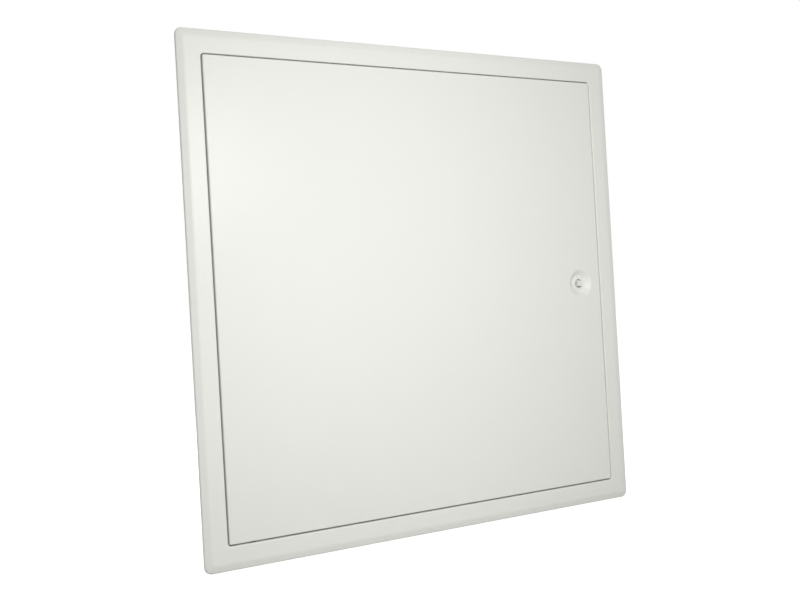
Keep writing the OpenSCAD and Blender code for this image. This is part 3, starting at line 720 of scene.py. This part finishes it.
SQUARE_W, SQUARE_SINK, SQUARE_CORNER, CUP_FLOOR = 8.0, 0.2, 0.35, 9.0
SQUARE_ROOT, CONE_ROOT, CONE_LEAD, NOSE_SHARE = 0.5, 0.6, 0.01, 0.55
bm = bmesh.new()
square_bar(bm, SQUARE_W, SQUARE_SINK, CUP_FLOOR + SQUARE_ROOT, SQUARE_CORNER)
spindle = show("square_key_spindle", bm, "lock", "lock_white", "lock_spindle")
nose_r, cone_end = NOSE_SHARE * SQUARE_W, CUP_FLOOR + CONE_ROOT
cone = bmesh.new()
turned(cone, [(0, SQUARE_SINK - CONE_LEAD), (nose_r, SQUARE_SINK - CONE_LEAD),
              (nose_r + cone_end - SQUARE_SINK, cone_end), (0, cone_end)],
       lock_at, BACKWARDS, steps=96)
close_up(cone)
cut_with(spindle, cone, "INTERSECT")
print("square of the spindle:", len(spindle.data.polygons), "faces")

# %% [markdown]
# Behind the square come a round shoulder that closes the cup, a journal that turns in the barrel
# and a small square tang for the cam. They could be joined by Booleans, but nothing shows where
# they meet. So they only run into each other inside the same mesh.

# %% The shoulder, journal and tang of the spindle
CAM_FRONT, TANG_W, TANG_L, TANG_ROOT, TANG_CORNER = 22.7, 6.8, 2.8, 0.2, 0.3
shoulder_r, journal_r = CUP_R - FIT, JOURNAL_R - FIT
bm = bmesh.new()
bm.from_mesh(spindle.data)
turned(bm, [(0, CUP_FLOOR), (shoulder_r - CHAMFER, CUP_FLOOR), (shoulder_r, CUP_FLOOR + CHAMFER),
            (shoulder_r, CUP_END), (journal_r, CUP_END), (journal_r, CAM_FRONT), (0, CAM_FRONT)],
       lock_at, BACKWARDS, steps=64)
square_bar(bm, TANG_W, CAM_FRONT - TANG_ROOT, CAM_FRONT + TANG_L, TANG_CORNER)
close_up(bm)
bm.to_mesh(spindle.data)
bm.free()
ease_edges(spindle, width=0.15, angle=30)
count(spindle)

# %% [markdown]
# ### Nut
# The nut behind the dish is a hexagon whose corners are turned off at both faces. A beveled hexagon
# would have straight chamfers. A hexagon kept inside a turned blank has the curved ones of a real
# nut. The cut leaves faces of many sides with points that nearly coincide. Splitting those faces
# before the points are joined keeps them from closing over the bore.

# %% The lock nut
NUT_W, NUT_START, NUT_END = 22.0, 7.0, 12.0
FACE_INSET, CORNER_CLEAR, CORNER_DROP = 0.3, 0.3, 1.09
BORE_R, MOUTH_R, MOUTH_DEEP = BARREL_R + 0.04, BARREL_R + 0.4, 0.4
nut_face, nut_corner = NUT_W / 2 - FACE_INSET, NUT_W / 2 / math.cos(math.radians(30))
blank_r = nut_corner + CORNER_CLEAR
along_lock = on_lock_axis((NUT_START + NUT_END) / 2) @ Matrix.Rotation(math.radians(-90), 4, "X")
bm = bmesh.new()
bmesh.ops.create_cone(bm, cap_ends=True, segments=6, radius1=nut_corner * MM,
                      radius2=nut_corner * MM, depth=(NUT_END - NUT_START) * MM,
                      matrix=along_lock @ Matrix.Rotation(math.radians(30), 4, "Z"))
nut = show("hexagon_lock_nut", bm, "door", "zinc_plate", "lock_nut")
blank = bmesh.new()
turned(blank, [(MOUTH_R, NUT_START), (nut_face, NUT_START), (blank_r, NUT_START + CORNER_DROP),
               (blank_r, NUT_END - CORNER_DROP), (nut_face, NUT_END), (MOUTH_R, NUT_END),
               (BORE_R, NUT_END - MOUTH_DEEP), (BORE_R, NUT_START + MOUTH_DEEP)],
       lock_at, BACKWARDS, steps=96, closed=True)
close_up(blank)
cut_with(nut, blank, "INTERSECT")
bm = bmesh.new()
bm.from_mesh(nut.data)
bmesh.ops.triangulate(bm, faces=[face for face in bm.faces if len(face.verts) > 4])
bmesh.ops.remove_doubles(bm, verts=bm.verts, dist=JOIN)
bm.to_mesh(nut.data)
bm.free()
ease_edges(nut, width=0.0, angle=25)
count(nut)

# %% [markdown]
# ### Cam screw
# The screw that holds the cam has a low domed head with a cross recess. The recess could be a dark
# mark, but it would vanish from the side. So the head is turned, and two crossed wedges are taken
# out of it, as the punch that heads a real screw does.

# %% The cam screw
SCREW_D, SCREW_BACK, SCREW_HEAD_T, SHANK_L = 4.0, 26.7, 2.8, 12.0
DOME_FLAT, DOME_ROUND = SCREW_D * 0.8, 1.4
WEDGE_TIP, WEDGE_TOP, WEDGE_L, WEDGE_THIN = 1.6, 3.4, 3.2, 0.24
screw_top, screw_end, shank_r = SCREW_BACK + SCREW_HEAD_T, SCREW_BACK - SHANK_L, SCREW_D / 2 - FIT
head_line = section(
    [(0, screw_top), (DOME_FLAT, screw_top), (SCREW_D, SCREW_BACK), (shank_r, SCREW_BACK),
     (shank_r, screw_end), (0, screw_end)],
    [(1, DOME_ROUND, 6)])
bm = bmesh.new()
turned(bm, head_line, lock_at, BACKWARDS, steps=48)
close_up(bm)
screw = show("cross_recess_cam_screw", bm, "lock", "zinc_plate", "cam_screw")
thin, corner_on = Matrix.Diagonal((1, WEDGE_THIN, 1, 1)), Matrix.Rotation(math.radians(45), 4, "Z")
for turn in (0, 90):
    spread = (Matrix.Rotation(math.radians(turn), 4, "Y")
              @ Matrix.Rotation(math.radians(-90), 4, "X"))
    wedge = bmesh.new()
    bmesh.ops.create_cone(wedge, cap_ends=True, segments=4, radius1=WEDGE_TIP * MM,
                          radius2=WEDGE_TOP * MM, depth=WEDGE_L * MM,
                          matrix=on_lock_axis(screw_top) @ spread @ thin @ corner_on)
    cut_with(screw, wedge)
ease_edges(screw, width=0.08, angle=35)
count(screw)

# %% [markdown]
# ## Pivots
# The door hangs on two pins. The upper one is a sliding bolt: a spring holds it up, and a knob
# draws it down so that the door lifts out. The spring could be a curve with a round bevel. Here it
# is one ring of wire, spun and lifted: a slow turn at each end lies flat, and the open turns
# between them climb. It shortens as the bolt slides.

# %% The spring of the bolt
UPWARDS = Vector((0, 0, 1))
WIRE_R, WIRE_SIDES, COIL_R, OPEN_TURNS, COIL_STEPS, COIL_GAP = 0.45, 10, 3.45, 5, 32, 0.05
spring_low, spring_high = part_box("bolt_spring")
spring_length = spring_high.z - spring_low.z
foot = Vector((pivot.x, pivot.y, spring_low.z + WIRE_R * MM))
stand = (Matrix.Translation(foot + Vector((COIL_R * MM, 0, 0)))
         @ Matrix.Rotation(math.radians(90), 4, "X"))
bm = bmesh.new()
bmesh.ops.create_circle(bm, cap_ends=True, segments=WIRE_SIDES, radius=WIRE_R * MM, matrix=stand)
climb, end_climb = spring_length / MM - 2 * WIRE_R, 2 * WIRE_R + COIL_GAP
wire_end = bm.verts[:] + bm.edges[:] + bm.faces[:]
for turns, rise in ((1, end_climb), (OPEN_TURNS, climb - 2 * end_climb), (1, end_climb)):
    steps = COIL_STEPS * turns
    spun = bmesh.ops.spin(bm, geom=wire_end, cent=foot, axis=UPWARDS,
                          dvec=UPWARDS * rise / steps * MM, angle=math.tau * turns, steps=steps,
                          use_merge=False, use_duplicate=False)
    wire_end = spun["geom_last"]
bmesh.ops.recalc_face_normals(bm, faces=bm.faces)
spring = show("coiled_bolt_spring", bm, "door", "zinc_plate", "bolt_spring")
spring.data.shade_smooth()
spring.data.set_sharp_from_angle(angle=math.radians(50))
count(spring)
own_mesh(spring)

# %% [markdown]
# ### Pull knob
# The knob is turned from black acetal, with a waist for two fingers. A cylinder with a scaled
# middle would have a sharp waist. A section whose corners are all rounded, spun round the bolt, has
# the soft one that a turning tool leaves.

# %% The pull knob
WAIST_DEEP, COLLAR_SHARE = 1.2, 0.24
KNOB_RIM, KNOB_SHOULDER, KNOB_WAIST = 0.7, 1.2, 5.0
knob_low, knob_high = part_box("bolt_knob")
knob_r, knob_l = (knob_high.x - knob_low.x) / 2 / MM, (knob_high.z - knob_low.z) / MM
waist_r = knob_r - WAIST_DEEP
knob_line = section(
    [(0, 0), (knob_r, 0), (knob_r, knob_l * COLLAR_SHARE), (waist_r, knob_l / 2),
     (knob_r, knob_l * (1 - COLLAR_SHARE)), (knob_r, knob_l), (0, knob_l)],
    [(1, KNOB_RIM, 5), (2, KNOB_SHOULDER, 4), (3, KNOB_WAIST, 8), (4, KNOB_SHOULDER, 4),
     (5, KNOB_RIM, 5)])
bm = bmesh.new()
turned(bm, knob_line, Vector((pivot.x, pivot.y, knob_low.z)), UPWARDS, steps=64)
close_up(bm)
knob = show("turned_pull_knob", bm, "bolt", "acetal", "bolt_knob")
ease_edges(knob, width=0.0, angle=60)
count(knob)

# %% [markdown]
# ## Rivets
# The corners of the casing are held by blind rivets: a low dome with a small pit where the mandrel
# broke off, and a swollen tail inside. Half a sphere would do for the dome, but it has neither pit
# nor tail. One outline spun four times has both.

# %% The blind rivets
RIVET_R, WALL_HALF, TAIL_H, HEAD_H = 2.0, 301.2, 1.4, 1.2
PIT_R, PIT_RIM_R, PIT_DEEP = 0.7, 0.9, 0.5
DOME_INSET, RIVET_DOME, TAIL_SWELL, TAIL_ROUND = 1.0, 1.6, 1.4, 0.4
grip = 2 * FRAME_SHEET
dome_top, dome_r = grip + HEAD_H, 2 * RIVET_R
rivet_line = section(
    [(0, dome_top - PIT_DEEP), (PIT_R, dome_top - PIT_DEEP), (PIT_RIM_R, dome_top),
     (dome_r - DOME_INSET, dome_top), (dome_r, grip), (RIVET_R, grip), (RIVET_R, 0),
     (TAIL_SWELL * RIVET_R, -TAIL_H), (0, -TAIL_H)],
    [(3, RIVET_DOME, 5), (7, TAIL_ROUND, 3)])
rivet_low, rivet_high = (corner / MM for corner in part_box("corner_rivets"))
rivet_across = rivet_high.x - dome_r
rivet_depth = (rivet_low.y + rivet_high.y) / 2
bm = bmesh.new()
for across in (-1, 1):
    for up in (-1, 1):
        centre = Vector((across * rivet_across, rivet_depth, up * WALL_HALF)) * MM
        turned(bm, rivet_line, centre, UPWARDS * up, steps=32)
close_up(bm)
rivets = show("blind_corner_rivets", bm, "frame", "zinc_plate", "corner_rivets")
ease_edges(rivets, width=0.0, angle=40)
count(rivets)

# %% [markdown]
# ## Seals
# A strip of foam on each stop takes up the last gap behind the closed door and keeps draughts and
# dust out. A plain box would look like a rubber bar. So each strip's edges are rounded, and its
# long faces rise and dip a little, as those of a strip that was cut with a knife and pressed down
# by hand do.

# %% The foam strips
FOAM_EDGE, FOAM_CUTS, SHARP_TURN = 0.7, 90, 1.0
FOAM_UNEVEN, UNEVEN_GRAIN = 0.12, 9.0
for node in ("seal_top", "seal_bottom", "seal_lock_side"):
    low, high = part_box(node)
    middle, span = (low + high) / 2, high - low
    longest = max(range(3), key=lambda axis: span[axis])
    sideways = Vector([0 if axis == longest else 1 for axis in range(3)])
    bm = bmesh.new()
    bmesh.ops.create_cube(bm, size=1.0,
                          matrix=Matrix.Translation(middle) @ Matrix.Diagonal((*span, 1)))
    long_edges = [edge for edge in bm.edges
                  if abs((edge.verts[0].co - edge.verts[1].co)[longest]) > span[longest] / 2]
    bmesh.ops.subdivide_edges(bm, edges=long_edges, cuts=FOAM_CUTS, use_grid_fill=True)
    sharp_edges = [edge for edge in bm.edges if edge.calc_face_angle(0) > SHARP_TURN]
    bmesh.ops.bevel(bm, geom=sharp_edges, offset=FOAM_EDGE * MM, offset_type="OFFSET", segments=3,
                    profile=0.5, affect="EDGES", material=-1)
    for vert in bm.verts:
        inwards = ((middle - vert.co) * sideways).normalized()
        dip = 0.5 + 0.5 * noise.noise(vert.co / (UNEVEN_GRAIN * MM))
        vert.co += inwards * FOAM_UNEVEN * MM * dip
    bmesh.ops.recalc_face_normals(bm, faces=bm.faces)
    strip = show("foam_strip_" + node.removeprefix("seal_"), bm, "frame", "foam", node)
    ease_edges(strip, width=0.0, angle=60)
    count(strip)

# %% [markdown]
# ## Weld marks
# The stiffeners are spot welded to the door before it is painted, and the paint doesn't hide the
# rings that the electrodes leave. They could be a bump in the finish, but a bump would have to know
# where each weld is. So each mark is a low turned button with a raised rim, sunk into the sheet.
# These marks ride with the door.

# %% Weld marks on the door
MARK_R, MARK_SINK, MARK_PITCH = 2.6, 0.3, 60.0
FLANGE_MIDDLE, END_MARGIN = 7.0, 30.0
mark_foot = MARK_R + 0.1
dent = [(0, 0.02), (MARK_R - 0.8, 0.03)]
raised_rim = [(MARK_R - 0.35, 0.11), (MARK_R - 0.1, 0.09), (mark_foot, -0.02)]
mark_line = dent + raised_rim + [(mark_foot, -MARK_SINK), (0, -MARK_SINK)]


def mark_row(bm, start, step, number, facing):
    """A row of weld marks, evenly spaced from a start, on a face that looks along one axis."""
    for place in range(number):
        turned(bm, mark_line, (start + step * place) * MM, facing, steps=16)


bm = bmesh.new()
for node in ("stiffener_hinge_side", "stiffener_lock_side"):
    low, high = (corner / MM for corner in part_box(node))
    number = int((high.z - low.z - END_MARGIN) / MARK_PITCH) + 1
    first = -(number - 1) * MARK_PITCH / 2
    for flange in (low.x + FLANGE_MIDDLE, high.x - FLANGE_MIDDLE):
        mark_row(bm, Vector((flange, low.y + DOOR_SHEET, first)), UPWARDS * MARK_PITCH, number,
                 BACKWARDS)
close_up(bm)
door_marks = show("weld_marks_door", bm, "door", "white_coat")
ease_edges(door_marks, width=0.0, angle=50)
count(door_marks)

# %% [markdown]
# The casing is welded to the back of the flange, and the stops to the walls of the casing. Their
# marks could share a mesh with the door's, but they must stay behind when the door swings. So they
# are a piece of their own that rides with the frame.

# %% Weld marks on the frame
SIDEWAYS = Vector((1, 0, 0))
LEG_HALF, ROW_PITCH, LONG_ROW, SHORT_ROW = 310.5, 80, 7, 6
LONG_START, SHORT_START, STOP_INSET = -240, -180, 4.5
leg_back = front + 2 * FRAME_SHEET
stop_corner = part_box("stop_lock_side")[1] / MM
stop_wall, stop_depth = stop_corner.x - FRAME_SHEET, stop_corner.y - STOP_INSET
bm = bmesh.new()
for side in (-1, 1):
    mark_row(bm, Vector((side * LEG_HALF, leg_back, LONG_START)), UPWARDS * ROW_PITCH, LONG_ROW,
             BACKWARDS)
    mark_row(bm, Vector((LONG_START, leg_back, side * LEG_HALF)), SIDEWAYS * ROW_PITCH, LONG_ROW,
             BACKWARDS)
mark_row(bm, Vector((stop_wall, stop_depth, LONG_START)), UPWARDS * ROW_PITCH, LONG_ROW, -SIDEWAYS)
for side in (-1, 1):
    mark_row(bm, Vector((SHORT_START, stop_depth, side * stop_wall)), SIDEWAYS * ROW_PITCH,
             SHORT_ROW, UPWARDS * -side)
close_up(bm)
frame_marks = show("weld_marks_frame", bm, "frame", "white_coat")
ease_edges(frame_marks, width=0.0, angle=50)
count(frame_marks)

# %% [markdown]
# ## Camera
# The photograph was taken from the left of the panel's middle and at half its height, from about
# 1.3 m. The camera could be placed by eye. A fit to the edges of the flange and of the door gap
# gives its place, its turn and its lens more closely.

# %% Camera
CAMERA_AT = (-0.6544, -1.1295, -0.0202)
CAMERA_TURN, CAMERA_RAISE, CAMERA_ROLL = 28.451, 0.330, -3.295
LENS, SENSOR_W = 43.04, 36.0
camera_data = bpy.data.cameras.new("camera")
camera_data.lens = LENS
camera_data.sensor_width = SENSOR_W
camera = in_scene("camera", camera_data)
camera.matrix_world = (
    Matrix.Translation(CAMERA_AT)
    @ Matrix.Rotation(math.radians(-CAMERA_TURN), 4, "Z")
    @ Matrix.Rotation(math.radians(90 + CAMERA_RAISE), 4, "X")
    @ Matrix.Rotation(math.radians(CAMERA_ROLL), 4, "Z")
)
bpy.context.scene.camera = camera
print("camera stands", round(Vector(CAMERA_AT).length, 3), "m from the middle of the opening")

# %% [markdown]
# ## Light
# One small softbox in front of the panel and above its middle gives the gentle fall of light across
# the door and the shadow in the dish. A wide one just below the middle softens that shadow and
# lightens the lower half. Point lamps could do it too, but their shadows would be hard. Two more
# softboxes stand behind the panel, close to its middle line, so that they light its back and hardly
# reach its rim.

# %% Lamps


def softbox(name, at, size, watts):
    """A round lamp of this size in metres, aimed at the middle of the panel."""
    lamp = bpy.data.lights.new(name, "AREA")
    lamp.shape = "DISK"
    lamp.size = size
    lamp.energy = watts
    holder = in_scene(name, lamp)
    turn = (-Vector(at)).to_track_quat("-Z", "Y").to_matrix().to_4x4()
    holder.matrix_world = Matrix.Translation(at) @ turn
    holder.visible_camera = False


softbox("key_lamp", at=(-0.09, -0.85, 0.30), size=0.30, watts=3.5)
softbox("wide_fill", at=(-0.10, -0.80, -0.10), size=0.80, watts=2.45)
softbox("back_left", at=(-0.3, 1.6, 0.5), size=0.6, watts=10.0)
softbox("back_right", at=(0.5, 1.6, 0.2), size=0.6, watts=7.0)
print("lamps:", len(bpy.data.lights))

# %% [markdown]
# ## Room
# The photograph has a plain white background. A white room as bright as that would wash out every
# shadow. So the room is a dim even white that still looks white where the camera or a reflection
# sees it. A Light Path node tells those rays apart from the ones that carry light.

# %% Room
ROOM_LIGHT, ROOM_SEEN = 0.39, 1.0
WHITE = (1.0, 1.0, 1.0, 1.0)


def seen_directly(tree):
    """1 for a ray from the camera, a reflection or a refraction, else 0."""
    path = tree.nodes.new("ShaderNodeLightPath")
    share = path.outputs["Is Camera Ray"]
    for ray in ("Is Glossy Ray", "Is Transmission Ray"):
        either = tree.nodes.new("ShaderNodeMath")
        either.operation = "MAXIMUM"
        tree.links.new(share, either.inputs[0])
        tree.links.new(path.outputs[ray], either.inputs[1])
        share = either.outputs[0]
    return share


room = bpy.data.worlds.new("room")
bpy.context.scene.world = room
room.use_nodes = True
tree = room.node_tree
tree.nodes["Background"].inputs["Color"].default_value = WHITE
range_to(tree, seen_directly(tree), ROOM_LIGHT, ROOM_SEEN,
         tree.nodes["Background"].inputs["Strength"])
print("room lights with", ROOM_LIGHT, "and is seen as", ROOM_SEEN)

# %% [markdown]
# ## Floor
# The panel stands on a floor that runs into the background without a line. A white floor in this
# dim room would look grey. This one glows for the same rays that see the room white, and keeps a
# faint shadow of the panel.

# %% Floor
FLOOR_HALF, FLOOR_GREY, FLOOR_GLOW = 20.0, (0.45, 0.45, 0.45, 1.0), 0.9
bm = bmesh.new()
bmesh.ops.create_grid(bm, x_segments=1, y_segments=1, size=FLOOR_HALF,
                      matrix=Matrix.Translation((0, 0, cad_low.z)))
floor = in_scene("floor", mesh_of("floor", bm))
floor_paint = bpy.data.materials.new("floor_paint")
floor_paint.use_nodes = True
tree = floor_paint.node_tree
floor_shader = tree.nodes["Principled BSDF"]
floor_shader.inputs["Base Color"].default_value = FLOOR_GREY
floor_shader.inputs["Roughness"].default_value = 1.0
floor_shader.inputs["Specular IOR Level"].default_value = 0.0
floor_shader.inputs["Emission Color"].default_value = WHITE
range_to(tree, seen_directly(tree), 0.0, FLOOR_GLOW, floor_shader.inputs["Emission Strength"])
floor.data.materials.append(floor_paint)
floor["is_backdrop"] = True
bpy.context.scene.view_settings.view_transform = "Standard"
print("floor at", round(cad_low.z / MM, 1), "mm")

# %% [markdown]
# ## Size
# The dressed panel has to fill the same box as the CAD model. It could be compared by eye.

# %% Size of the dressed panel
low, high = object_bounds()
print("dressed panel in mm:", [round(side / MM, 1) for side in high - low])
